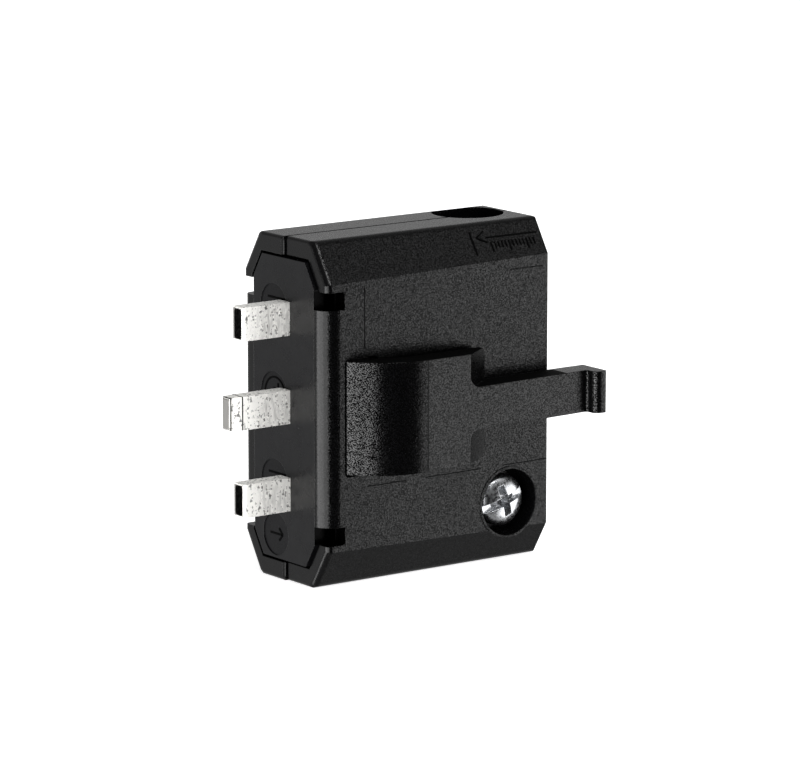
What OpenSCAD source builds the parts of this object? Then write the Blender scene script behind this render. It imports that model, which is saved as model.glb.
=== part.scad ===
// Three-pole plug for a luminaire: two clamped shells, a contact carrier with three flat blades,
// box clamps for the wires and a moulded release latch on the front face.
// Millimetres. +Z up, the blades point to -X and the latch side faces -Y.

/* [Body] */

// length of the housing, mating end to rear end
body_l = 31.6; // [29:0.1:40]
// height of the housing, standing on its narrow lower face
body_h = 39.3; // [38.4:0.1:46]
// parting plane to front or rear face, at the mating end
half_d = 7.9; // [7.7:0.1:9]
// how far the front face leans in towards the rear end
front_lean = 0.4; // [0:0.1:0.5]
// parting plane to the edge of the narrow top face
top_half = 5.05; // [4.9:0.05:5.3]
// height of a long chamfer for each millimetre of its depth
chamfer_slope = 1.6; // [1.5:0.05:1.7]
// wall of the shells
wall = 1.8; // [1.6:0.1:1.9]
// rounding along the edges of the narrow top and bottom faces
edge_r = 1.0; // [0.5:0.1:1.2]
// how far the front shell's mating end stands back from the carrier's face, beside its middle band
front_back = 0.4; // [0.2:0.05:0.5]
// rounding of the mating end along the side faces and chamfers
mate_r = 0.7; // [0.4:0.1:0.9]
// rounding of the mating end along the narrow top and bottom faces
rim_r = 0.35; // [0.2:0.05:0.5]
// rounding of the mating end at the corners between chamfer and top or bottom
corner_r = 0.65; // [0.5:0.05:0.75]
// rounding round the rear end
end_r = 0.35; // [0.2:0.05:0.5]
// large rounding of the front mating edge between the notches
mid_r = 2.1; // [2.1:0.1:2.6]
// rounding of the rear mating edge between the notches
rear_r = 1.1; // [0.6:0.1:1.5]
// width of the groove that shows along the parting plane
seam_w = 0.36; // [0.24:0.02:0.4]
// break of the rear shell's edge along the seam at the mating end
seam_break = 0.26; // [0.1:0.02:0.34]

/* [Carrier] */

// inset of the carrier from the side faces and chamfers
carrier_inset = 2.05; // [1.95:0.05:2.15]
// inset of the carrier from the top and bottom faces
carrier_z_inset = 2.4; // [2.25:0.05:2.5]
// open gap that shows round the carrier
face_gap = 0.3; // [0.24:0.02:0.36]
// depth of the four notches in the mating end
notch_l = 2.8; // [2.6:0.1:2.9]
// height of a notch
notch_h = 2.0; // [1.8:0.1:2.2]
// diameter of a shallow label disc
disc_d = 5.2; // [4.4:0.1:5.6]
// depth of a label disc
disc_depth = 0.12; // [0.06:0.02:0.3]

/* [Contacts] */

// spacing of the three poles
pitch = 10; // [9.8:0.1:10.2]
// thickness of a blade
blade_t = 2.0; // [1.8:0.1:2.2]
// height of a blade
blade_h = 3.8; // [3.6:0.1:4.2]
// reach of the upper and lower blades beyond the mating face
blade_out = 6.4; // [5.8:0.1:7.2]
// reach of the earth blade beyond the mating face
earth_out = 8.0; // [7.6:0.1:8.8]
// thread of the clamp screws
clamp_screw_d = 3.0; // [2.6:0.1:3.2]

/* [Latch] */

// height of the wide part of the latch at its root
latch_h = 12.9; // [12:0.1:13.6]
// rise of the latch above the front face
latch_rise = 4.3; // [4:0.1:4.8]
// radius of the curved ramp
latch_r = 9.0; // [8.6:0.1:9.6]
// thickness of the latch
latch_t = 3.0; // [2.8:0.1:3.2]
// height of the release arm
arm_h = 4.85; // [3.6:0.05:6]
// reach of the arm beyond the rear end
arm_out = 4.9; // [3:0.1:8]
// how far the lip at the arm's end stands out
lip_out = 1.65; // [1.2:0.05:2.4]
// thickness of the lip along the arm
lip_t = 1.95; // [1.6:0.05:2.6]

/* [Cable entry] */

// diameter of the cable hole
hole_d = 8.3; // [6.5:0.1:8.5]
// cable hole behind the parting plane
hole_y = 1.45; // [1.2:0.05:1.6]
// wall left between the cable hole and the rear end
hole_wall = 0.75; // [0.7:0.05:1.4]
// rim left between the flat of the cable hole and the rear edge of the top face
hole_rim = 0.25; // [0.2:0.05:0.6]

/* [Housing screw] */

// thread of the housing screw
screw_d = 3.0; // [2.6:0.1:3.2]
// head of the housing screw
head_d = 6.0; // [5.6:0.1:6.2]
// counterbore round the head
bore_d = 7.7; // [7.4:0.1:7.9]
// screw axis above the bottom face
screw_z = 7.1; // [6.9:0.1:7.6]
// screw axis ahead of the rear end
screw_back = 5.7; // [5.4:0.1:6.2]

/* [Hidden] */

$fn = 72;

big = 100;
// sliding clearance between moulded pieces, and radial clearance of a thread
fit = 0.05;
thread_fit = 0.02;
chamfer_n = sqrt(1 + chamfer_slope * chamfer_slope);
mid_z = body_h / 2 - 0.1;

// the front face's place along the body
function front_y(x) = -(half_d - front_lean * x / body_l);
// half width of a narrow face, with side and chamfer inset w and top inset zw
function narrow(w, zw) = top_half + (zw - w * chamfer_n) / chamfer_slope;
// drop of a chamfer from a narrow face to the side face
function drop(w, zw) = (half_d - w - narrow(w, zw)) * chamfer_slope;

seam_d = 0.45;
// carrier's nose, and where the shells meet its sides between the notches
nose_l = notch_l + 0.1;
crease = half_d - carrier_inset + 0.04;
mid_half = 12.3;
// centre of the large rounding, which starts at the crease, and where it leaves the front face
front_k = front_lean / body_l;
front_n = sqrt(1 + front_k * front_k);
mid_b = crease + front_y(0) + mid_r * front_n;
mid_x = (sqrt(pow(mid_r * front_n, 2) - mid_b * mid_b) - mid_b * front_k) / (front_n * front_n);
mid_c = [mid_x, front_y(mid_x) + mid_r * front_n];
mid_a = mid_c + [front_k, -1] * mid_r / front_n;

flange_t = 2.0;
flange_half = 4.0;
flange_z = 1.3;
deck_x = nose_l + flange_t;

// the cavity behind the carrier
cavity_end = body_l - 1.6;
cavity_front = -(half_d - front_lean - wall);
cavity_rear = half_d - wall;

// contacts and clamps
blade_y = -0.2;
pole_z = body_h / 2 + 0.5;
poles = [pitch, 0, -pitch];
tail_h = 5.4;
tail_l = 10.1;
tail_end = deck_x + tail_l;
tail_front = blade_y - blade_t / 2;
tail_back = blade_y + blade_t / 2;
clamp_x = deck_x + 2.7;
clamp_l = 5.4;
clamp_half = tail_h / 2 + fit + 0.85;
wire_gap = 2.2;
clamp_wall = 1.0;
clamp_back = tail_back + wire_gap + clamp_wall;
// a clamp's window starts ahead of its tail, so that the clamp can travel
clamp_play = 0.8;
clamp_head_d = clamp_screw_d + 1.6;
clamp_head_h = 1.3;
clamp_slot_w = 0.8;
clamp_slot_d = 0.7;
// head of a clamp screw off its clamp, and off the front wall of the cavity
clamp_proud = 0.3;
clamp_room = 0.5;
clamp_head_y = cavity_front + clamp_room;
clamp_front = clamp_head_y + clamp_head_h + clamp_proud;
// chambers of the carrier, a little deeper than the clamps
chamber_lip = 0.2;
chamber_wall = 0.9;
chamber_front = clamp_front - chamber_lip;
chamber_back = clamp_back + chamber_wall;
end_plate = 1.0;
// chamfers of the blade tips
tip_l = 0.45;
tip_d = 0.12;
earth_tip_l = 1.5;
earth_tip_d = 0.28;

// cable entry and housing screw
hole_r = hole_d / 2;
hole_x = body_l - hole_wall - hole_r;
sleeve_l = 5.2;
sleeve_z = body_h - sleeve_l;
screw_x = body_l - screw_back;
seat_y = front_y(screw_x) + 2.55;
boss_y = seat_y + 1.6;
screw_tip = half_d - wall - 1.6;
boss_r = bore_d / 2 + 1.3;
head_side = 1.25;
head_dome = 0.85;
recess_w = 1.0;
recess_d = 1.3;
slot_w = 0.9;
slot_d = 0.75;
rib_t = 1.2;
front_ribs = [sleeve_z - 3.6, sleeve_z - 7.6];
rear_ribs = [sleeve_z - 5.6];
// lips that locate the front shell: reach past the parting plane, thickness, foot and place along the body
guide_h = 1.0;
guide_t = 0.9;
guide_foot = 0.6;
guide_start = 3;
guide_l = 8;
guide_x = [deck_x + guide_start, deck_x + guide_start + guide_l];
// lip at the rear end, between the screw boss and the lowest cable rib
end_lip = [screw_z + boss_r + 0.4, front_ribs[1] - 0.4];

// latch: plane of the flat and of the arm, and the ramp that rises to it
plane_lean = 0.05;
lean_a = atan(plane_lean);
ramp_x = 11.17;
ramp_y = front_y(ramp_x) - latch_rise;
ramp_c = [ramp_x - latch_r * sin(lean_a), ramp_y + latch_r * cos(lean_a)];
ramp_in = ramp_c + (latch_r - latch_t) * [sin(lean_a), -cos(lean_a)];
shoulder_x = 17.3;
shoulder_end = 21.4;
pocket_d = 0.75;
pocket_l = 4.2;
foot_x = 3;
root_dy = front_y(foot_x) - ramp_c[1];
root_x = ramp_c[0] - sqrt(latch_r * latch_r - root_dy * root_dy);
lip_x = body_l + arm_out;
lip_root = lip_x - lip_t;
lip_fillet = 0.4;
arm_back = front_y(body_l) - 0.55;
function plane_y(x) = ramp_y + plane_lean * (x - ramp_x);

// the pieces are drawn from the mating plane and the parting plane, and moved so that
// the origin lies at the bottom centre of the whole part, blades and latch included
crest_y = plane_y(lip_root) - lip_out;
centre_x = (lip_x - max(blade_out, earth_out)) / 2;
centre_y = (half_d + min(crest_y, ramp_c[1] - latch_r)) / 2;
module framed() { translate([-centre_x, -centre_y, 0]) children(); }

// extrudes a Y-Z outline along X, an X-Z outline along Y, and an X-Y outline along Z
module along_x(x0, x1) { translate([x0, 0, 0]) rotate([90, 0, 90]) linear_extrude(x1 - x0) children(); }
module along_y(y0, y1) { translate([0, y1, 0]) rotate([90, 0, 0]) linear_extrude(y1 - y0) children(); }
module along_z(z0, z1) { translate([0, 0, z0]) linear_extrude(z1 - z0) children(); }

// a box between two corners
module box(a, b) { translate(a) cube(b - a); }

// a cylinder along Y
module rod_y(x, z, r, y0, y1) { translate([x, y1, z]) rotate([90, 0, 0]) cylinder(r = r, h = y1 - y0); }

// convex outline with a radius at each corner
function unit(v) = v / norm(v);
module rounded(p, r) {
  n = len(p);
  u = [for (i = [0:n - 1]) unit(p[(i + n - 1) % n] - p[i])];
  v = [for (i = [0:n - 1]) unit(p[(i + 1) % n] - p[i])];
  half = [for (i = [0:n - 1]) acos(u[i] * v[i]) / 2];
  t = [for (i = [0:n - 1]) r[i] / tan(half[i])];
  polygon([for (i = [0:n - 1]) each r[i] > 0 ? [p[i] + u[i] * t[i], p[i] + v[i] * t[i]] : [p[i]]]);
  for (i = [0:n - 1]) if (r[i] > 0)
    translate(p[i] + unit(u[i] + v[i]) * r[i] / sin(half[i])) circle(r = r[i]);
}

// octagon across the body, inset w at sides and chamfers and zw at top and bottom
module octagon(w, zw, r = 0) {
  a = narrow(w, zw);
  b = half_d - w;
  d = drop(w, zw);
  lo = zw;
  hi = body_h - zw;
  rounded([[-a, hi], [-b, hi - d], [-b, lo + d], [-a, lo], [a, lo], [b, lo + d], [b, hi - d], [a, hi]],
          [r, r / 3, r / 3, r, r, r / 3, r / 3, r]);
}

// what a rounding of radius r takes off the corner p between sides along u and v
module corner_off(p, u, v, r) {
  half = acos(u * v) / 2;
  c = p + unit(u + v) * r / sin(half);
  a = p + u * r / tan(half);
  b = p + v * r / tan(half);
  difference() {
    polygon([c, a, a + (a - c) / r, p - (u + v) * 2, b + (b - c) / r, b]);
    translate(c) circle(r = r);
  }
}

// what the roundings of the mating edges at x take off, in the middle and beyond the notches
module mating_edges_off(x) {
  for (z = [[-1, mid_z - mid_half], [mid_z + mid_half, body_h + 1]]) along_z(z[0], z[1]) {
    corner_off([x, front_y(x)], [1, front_k] / front_n, [0, 1], mate_r);
    corner_off([x, half_d], [1, 0], [0, -1], mate_r);
  }
  along_z(mid_z - mid_half, mid_z + mid_half) {
    corner_off([x, half_d], [1, 0], [0, -1], rear_r);
    difference() {
      polygon([mid_c, mid_a, mid_a + (mid_a - mid_c) / mid_r, [-2, front_y(0) - 2], [-2, mid_c[1]]]);
      translate(mid_c) circle(r = mid_r);
    }
  }
}

// solid outer form of the body, both shells together, with its mating end at x
module envelope(x) {
  q = (chamfer_slope * top_half + body_h / 2) / chamfer_n;
  turn = atan(chamfer_slope) / 2;
  p = top_half * sin(turn) + body_h / 2 * cos(turn) - edge_r * (1 / cos(turn) - 1) + 0.03;
  corner = [[x, -p], [body_l + 1, -p], [body_l + 1, p], [x, p]];
  difference() {
    intersection() {
      along_x(-1, body_l + 1) octagon(0, 0, edge_r);
      along_y(-big, big) rounded([[x, 0], [body_l, 0], [body_l, body_h], [x, body_h]],
                                 [rim_r, end_r, end_r, rim_r]);
      along_z(-1, body_h + 1)
        rounded([[x, front_y(x)], [body_l, front_y(body_l)], [body_l, half_d], [x, half_d]],
                [0, end_r, end_r, 0]);
      translate([0, 0, body_h / 2]) rotate([atan(chamfer_slope), 0, 0]) along_y(-big, big)
        rounded([[x, -q], [body_l, -q], [body_l, q], [x, q]], [mate_r, end_r, end_r, mate_r]);
      translate([0, 0, body_h / 2]) rotate([-atan(chamfer_slope), 0, 0]) along_y(-big, big)
        rounded([[x, -q], [body_l, -q], [body_l, q], [x, q]], [mate_r, end_r, end_r, mate_r]);
      translate([0, 0, body_h / 2]) rotate([turn, 0, 0]) along_y(-big, big)
        rounded(corner, [corner_r, 0, 0, corner_r]);
      translate([0, 0, body_h / 2]) rotate([-turn, 0, 0]) along_y(-big, big)
        rounded(corner, [corner_r, 0, 0, corner_r]);
    }
    mating_edges_off(x);
  }
}

// space the carrier takes in the mating end, with its gap and the grooves for its flange
module carrier_space() {
  difference() {
    along_x(-1, nose_l) octagon(carrier_inset - face_gap, carrier_z_inset - face_gap);
    for (y = [crease, -crease - big])
      box([-2, y, mid_z - mid_half], [big, y + big, mid_z + mid_half]);
  }
  box([nose_l - 0.01, -flange_half - fit, flange_z - fit],
      [deck_x + fit, flange_half + fit, body_h - flange_z + fit]);
}

// the four notches, open to the mating end and to the side faces
module notches() {
  for (s = [-1, 1]) {
    z0 = s > 0 ? mid_z + mid_half : mid_z - mid_half - notch_h;
    along_y(-big, big) rounded([[-2, z0], [notch_l, z0], [notch_l, z0 + notch_h], [-2, z0 + notch_h]],
                               s > 0 ? [0, 0, 0.4, 0] : [0, 0.4, 0, 0]);
  }
}

// hollow of the shells behind the carrier
module cavity() {
  intersection() {
    along_x(nose_l, cavity_end) octagon(wall, wall);
    box([0, cavity_front, 0], [body_l, cavity_rear, body_h]);
  }
}

// groove that shows along the parting plane
module seam() {
  h = seam_w / 2;
  g = h * 0.7;
  box([-1, -h, body_h - seam_d], [body_l + 1, h, body_h + 1]);
  box([-1, -h, -1], [body_l + 1, h, seam_d]);
  box([body_l - seam_d, -h, -1], [body_l + 1, h, body_h + 1]);
  box([-1, -g, -1], [front_back + seam_d, g, body_h + 1]);
  along_z(-1, body_h + 1)
    polygon([[-1, 0], [-1, g + seam_break + 1], [seam_break, g], [seam_break, 0]]);
}

// solid round the cable hole that fills the upper rear corner of the shells
module sleeve() {
  intersection() {
    along_x(hole_x - hole_r - 1.5, body_l) octagon(0.9, 0.9);
    box([0, -half_d, sleeve_z], [body_l - 0.9, half_d, body_h]);
  }
}

// cable hole down to the cavity, with a flat that leaves a rim behind it
module cable_hole() {
  intersection() {
    translate([hole_x, hole_y, sleeve_z - 1]) cylinder(r = hole_r, h = big);
    box([0, -big, 0], [big, top_half - hole_rim, big]);
  }
}

// two ribs of one shell that pinch the cable's sheath
module cable_ribs(levels, y0, y1) {
  for (z = levels) intersection() {
    difference() {
      box([hole_x - hole_r - 1.2, y0, z], [cavity_end + 0.5, y1, z + rib_t]);
      translate([hole_x, hole_y, z - 1]) cylinder(r = hole_r - 0.6, h = rib_t + 2);
    }
    along_x(0, body_l) octagon(wall / 2, wall / 2);
  }
}

// wide part of the latch: ramp, flat and sloped shoulders
module latch_wide() {
  h = latch_h / 2;
  intersection() {
    along_z(0, body_h) union() {
      intersection() {
        difference() {
          translate(ramp_c) circle(r = latch_r, $fn = 144);
          translate(ramp_c) circle(r = latch_r - latch_t, $fn = 144);
        }
        polygon([ramp_c + [0, 0.0001], [-big, ramp_c[1]], [-big, -big],
                 ramp_c + big * [sin(lean_a), -cos(lean_a)]]);
        translate([0, -big]) square([big, big + front_y(foot_x) + pocket_d + 0.3]);
      }
      polygon([[ramp_x, ramp_y], [shoulder_x, plane_y(shoulder_x)],
               [shoulder_end, plane_y(shoulder_end) + latch_t - 0.35],
               [shoulder_end, plane_y(shoulder_end) + latch_t], ramp_in]);
    }
    along_y(-big, 0) translate([0, mid_z]) rounded(
      [[0, -h], [shoulder_end, -h + 0.2], [shoulder_end, h - 0.2], [0, h]], [0, 0.8, 0.8, 0]);
  }
}

// release arm with its outward lip, whose nose is rounded
module latch_arm() {
  a = arm_h / 2;
  f = 1.4;
  arm_x = shoulder_x - 2;
  intersection() {
    along_z(0, body_h) {
      polygon([[arm_x, plane_y(arm_x)], [lip_root + 0.1, plane_y(lip_root + 0.1)], [lip_root + 0.1, arm_back],
               [shoulder_end, arm_back], [arm_x, plane_y(arm_x) + latch_t]]);
      rounded([[lip_root, arm_back], [lip_root, crest_y], [lip_x - 0.2, crest_y], [lip_x, arm_back]],
              [0, 0.85, 0.6, 0.45]);
      difference() {
        translate([lip_root - lip_fillet, plane_y(lip_root) - lip_fillet]) square(lip_fillet + 0.1);
        translate([lip_root - lip_fillet, plane_y(lip_root) - lip_fillet]) circle(r = lip_fillet);
      }
    }
    along_y(-big, 0) translate([0, mid_z]) {
      rounded([[arm_x, -a], [lip_x, -a], [lip_x, a], [arm_x, a]], [0, 0.35, 0.35, 0]);
      for (s = [-1, 1]) difference() {
        translate([shoulder_x - 1, s > 0 ? a - 0.1 : -a - f]) square([f + 1, f + 0.1]);
        translate([shoulder_x + f, s * (a + f)]) circle(r = f);
      }
    }
  }
}

// shallow pocket in the front face that the latch rises from
module latch_pocket() {
  h = latch_h / 2 + 0.22;
  x0 = root_x - 0.3;
  x1 = root_x + pocket_l;
  along_y(front_y(0) - 1, front_y(foot_x) + pocket_d) translate([0, mid_z])
    rounded([[x0, -h], [x1, -h], [x1, h], [x0, h]], [0.4, 0.4, 0.4, 0.4]);
}

// beads on the locating lips that snap into the front shell, grown by g for their grooves
module snap_beads(g) {
  for (z = [wall + 0.35, body_h - wall - 0.35])
    translate([guide_x[0] + 1 - g, -0.6, z]) rotate([0, 90, 0])
      cylinder(r = 0.68 + g, h = guide_l - 2 + 2 * g);
}

// front shell with latch, counterbore and cable ribs, moulded in one
module front_housing() {
  color([0.09, 0.09, 0.1]) framed() {
    difference() {
      union() {
        difference() {
          intersection() {
            union() {
              envelope(front_back);
              intersection() {
                envelope(0);
                box([-1, -big, mid_z - mid_half], [mid_r, 1, mid_z + mid_half]);
              }
            }
            box([-1, -big, -1], [body_l + 1, 0, body_h + 1]);
          }
          carrier_space();
          notches();
          difference() {
            cavity();
            sleeve();
            rod_y(screw_x, screw_z, boss_r, -half_d, boss_y);
          }
          seam();
          latch_pocket();
        }
        intersection() {
          rod_y(screw_x, screw_z, bore_d / 2 + 0.3, front_y(screw_x) - 0.1, seat_y);
          box([0, -big, 0.4], [body_l, 0, body_h]);
        }
        cable_ribs(front_ribs, cavity_front - 0.5, -0.1);
        box([tail_end, cavity_front - 0.5, pole_z - pitch - 2.2], [tail_end + 1.4, tail_back - 0.3,
            pole_z + pitch + 2.2]);
      }
      rod_y(screw_x, screw_z, bore_d / 2, -big, seat_y);
      rod_y(screw_x, screw_z, screw_d / 2 + 0.15, -big, 0);
      cable_hole();
      snap_beads(fit);
    }
    latch_wide();
    latch_arm();
  }
}

// rear shell with the screw boss, cable rib and the lip that locates the front shell
module rear_housing() {
  color([0.08, 0.08, 0.09]) framed() {
    difference() {
      union() {
        difference() {
          intersection() {
            envelope(0);
            box([-1, 0, -1], [body_l + 1, big, body_h + 1]);
          }
          carrier_space();
          notches();
          difference() {
            cavity();
            sleeve();
          }
          seam();
        }
        rod_y(screw_x, screw_z, screw_d / 2 + 1.7, boss_y + fit / 2, cavity_rear + 0.5);
        cable_ribs(rear_ribs, 0.1, cavity_rear + 0.5);
        for (z = [wall + fit, body_h - wall - fit - guide_t]) {
          box([guide_x[0], -guide_h, z], [guide_x[1], guide_foot, z + guide_t]);
          box([guide_x[0], 0, z - guide_foot], [guide_x[1], guide_foot, z + guide_t + guide_foot]);
        }
        snap_beads(0);
        box([cavity_end - fit - guide_t, -guide_h, end_lip[0]], [cavity_end - fit, guide_foot, end_lip[1]]);
        box([cavity_end - guide_t - 0.5, 0, end_lip[0]], [cavity_end + 0.5, guide_foot, end_lip[1]]);
      }
      rod_y(screw_x, screw_z, screw_d / 2 + thread_fit, -big, screw_tip + 0.4);
      cable_hole();
    }
  }
}

// carrier: nose that fills the mating end, flange, and the open chambers for the clamps
module contact_carrier() {
  y0 = chamber_front;
  y1 = chamber_back;
  plate = pitch - 2 * (clamp_half + fit);
  half = pitch + clamp_half + fit + end_plate;
  slot = (blade_h + fit) / 2;
  color([0.2, 0.2, 0.21]) framed() difference() {
    union() {
      along_x(0, nose_l) octagon(carrier_inset, carrier_z_inset);
      box([nose_l, -flange_half, flange_z], [deck_x, flange_half, body_h - flange_z]);
      translate([0, 0, pole_z]) {
        box([nose_l - 0.1, y0, -half], [deck_x, y1, half]);
        box([deck_x - 0.1, clamp_back, -half], [tail_end - 0.1, y1, half]);
        for (z = [-pitch / 2, pitch / 2])
          box([deck_x - 0.1, y0, z - plate / 2], [tail_end - 0.1, y1, z + plate / 2]);
        for (z = [-half, half - end_plate]) box([deck_x - 0.1, y0, z], [tail_end - 0.1, y1, z + end_plate]);
      }
    }
    for (k = poles) translate([0, 0, pole_z + k]) {
      box([-1, tail_front - fit / 2, -slot], [deck_x + 1, tail_back + fit / 2, slot]);
      label_disc(1.9, 1.0, disc_d);
    }
    label_disc(1.7, carrier_z_inset + disc_d / 2 + 0.15, disc_d - 0.3);
  }
}

// shallow round recess in the mating face
module label_disc(y, z, d) { translate([-1, y, z]) rotate([0, 90, 0]) cylinder(d = d, h = 1 + disc_depth); }

// contact: blade with a chamfered tip, and the wider tail that carries the clamp
module contact(k, out, taper_l, taper_d) {
  h = blade_h / 2;
  t = blade_t / 2;
  tip = t - taper_d;
  root = deck_x + 0.5;
  color([0.82, 0.82, 0.8]) framed() translate([0, blade_y, pole_z + k]) {
    intersection() {
      along_y(-t, t) rounded([[-out, -h], [root, -h], [root, h], [-out, h]], [0.35, 0, 0, 0.35]);
      along_z(-h, h) rounded(
        [[-out, -tip], [-out + taper_l, -t], [root, -t], [root, t], [-out + taper_l, t], [-out, tip]],
        [0.25, 0, 0, 0, 0, 0.25]);
    }
    box([deck_x, -t, -tail_h / 2], [tail_end, t, tail_h / 2]);
  }
}
module upper_contact() { contact(poles[0], blade_out, tip_l, tip_d); }
module earth_contact() { contact(poles[1], earth_out, earth_tip_l, earth_tip_d); }
module lower_contact() { contact(poles[2], blade_out, tip_l, tip_d); }

// box clamp round a tail, open along X for the wire
module clamp(k) {
  color([0.72, 0.6, 0.35]) framed() translate([0, 0, pole_z + k]) difference() {
    box([clamp_x, clamp_front, -clamp_half], [clamp_x + clamp_l, clamp_back, clamp_half]);
    box([clamp_x - clamp_l, tail_front - clamp_play, -tail_h / 2 - fit],
        [clamp_x + 2 * clamp_l, clamp_back - clamp_wall, tail_h / 2 + fit]);
    rod_y(clamp_x + clamp_l / 2, 0, clamp_screw_d / 2 + thread_fit, clamp_front - clamp_wall, tail_front);
  }
}
module upper_clamp() { clamp(poles[0]); }
module earth_clamp() { clamp(poles[1]); }
module lower_clamp() { clamp(poles[2]); }

// slotted screw that draws a clamp against its tail
module clamp_screw(k) {
  x = clamp_x + clamp_l / 2;
  color([0.75, 0.75, 0.76]) framed() translate([0, 0, pole_z + k]) difference() {
    union() {
      rod_y(x, 0, clamp_screw_d / 2, clamp_head_y + clamp_head_h, tail_front);
      rod_y(x, 0, clamp_head_d / 2, clamp_head_y, clamp_head_y + clamp_head_h);
    }
    box([x - clamp_head_d, clamp_head_y - clamp_head_h, -clamp_slot_w / 2],
        [x + clamp_head_d, clamp_head_y + clamp_slot_d, clamp_slot_w / 2]);
  }
}
module upper_clamp_screw() { clamp_screw(poles[0]); }
module earth_clamp_screw() { clamp_screw(poles[1]); }
module lower_clamp_screw() { clamp_screw(poles[2]); }

// pan-head screw with a cross recess and a slot, closing the shells
module housing_screw() {
  r = head_d / 2;
  top = head_side + head_dome;
  ball = (r * r + head_dome * head_dome) / (2 * head_dome);
  color([0.8, 0.8, 0.82]) framed() translate([screw_x, seat_y, screw_z]) rotate([90, 0, 0]) difference() {
    union() {
      intersection() {
        cylinder(r = r, h = top);
        translate([0, 0, top - ball]) sphere(r = ball, $fn = 96);
      }
      translate([0, 0, seat_y - screw_tip]) cylinder(r = screw_d / 2, h = screw_tip - seat_y + 0.1);
    }
    rotate([0, 0, 18]) {
      box([-r * 0.98, -slot_w / 2, top - slot_d], [r * 0.98, slot_w / 2, top + head_side]);
      for (a = [0, 90]) rotate([0, 0, a])
        box([-r * 0.66, -recess_w / 2, top - recess_d], [r * 0.66, recess_w / 2, top + head_side]);
    }
  }
}

front_housing();
rear_housing();
contact_carrier();
upper_contact();
earth_contact();
lower_contact();
upper_clamp();
earth_clamp();
lower_clamp();
upper_clamp_screw();
earth_clamp_screw();
lower_clamp_screw();
housing_screw();
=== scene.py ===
"""Looks of a black luminaire connector plug: finishes, moulded marks, screw, studio and camera."""

import logging
import math
from collections.abc import Callable, Sequence
from dataclasses import dataclass
from enum import Enum
from functools import reduce

import bpy
from mathutils import Matrix, Vector


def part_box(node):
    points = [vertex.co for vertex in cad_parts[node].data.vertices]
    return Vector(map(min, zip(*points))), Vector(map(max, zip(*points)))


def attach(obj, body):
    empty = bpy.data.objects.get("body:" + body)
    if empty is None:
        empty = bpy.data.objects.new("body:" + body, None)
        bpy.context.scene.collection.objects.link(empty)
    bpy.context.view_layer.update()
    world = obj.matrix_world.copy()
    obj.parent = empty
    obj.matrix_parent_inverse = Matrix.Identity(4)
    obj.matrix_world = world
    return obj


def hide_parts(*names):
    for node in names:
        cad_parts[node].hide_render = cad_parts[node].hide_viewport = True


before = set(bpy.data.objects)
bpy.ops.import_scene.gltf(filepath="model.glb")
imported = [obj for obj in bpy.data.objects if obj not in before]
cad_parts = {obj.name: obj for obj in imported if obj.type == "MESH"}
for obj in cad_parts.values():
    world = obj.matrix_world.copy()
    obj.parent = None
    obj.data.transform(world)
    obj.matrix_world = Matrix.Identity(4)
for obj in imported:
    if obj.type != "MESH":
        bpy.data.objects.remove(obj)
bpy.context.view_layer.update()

LOG = logging.getLogger("luminaire_plug")
MM = 0.001
BODY = "root"
WHITE = "#ffffff"
BLACK = "#000000"
UNIT = (0.0, 1.0)
# Range that holds most values of a noise texture.
NOISE_CORE = (0.3, 0.7)
# A face counts as level when the upright part of its normal passes this.
LEVEL = 0.9

Span = tuple[float, float]
Point = tuple[float, float]
Line = tuple[Point, Point]
Triple = tuple[float, float, float]
Socket = bpy.types.NodeSocket
Factor = bpy.types.NodeSocket | float
Colour = bpy.types.NodeSocket | str


class Slot(Enum):
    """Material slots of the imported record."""

    SHELL = "black_polyamide"
    CARRIER = "carrier_polyamide"
    STEEL = "plated_steel"


def linear(code: str) -> tuple[float, float, float, float]:
    """Turn an sRGB hex value into a linear colour.

    Args:
        code: Colour as "#rrggbb".

    Returns:
        Linear red, green and blue, with an alpha of 1.
    """
    shares = [int(code[i:i + 2], 16) / 255 for i in (1, 3, 5)]
    r, g, b = (s / 12.92 if s <= 0.04045 else ((s + 0.055) / 1.055) ** 2.4 for s in shares)
    return (r, g, b, 1.0)


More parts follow.
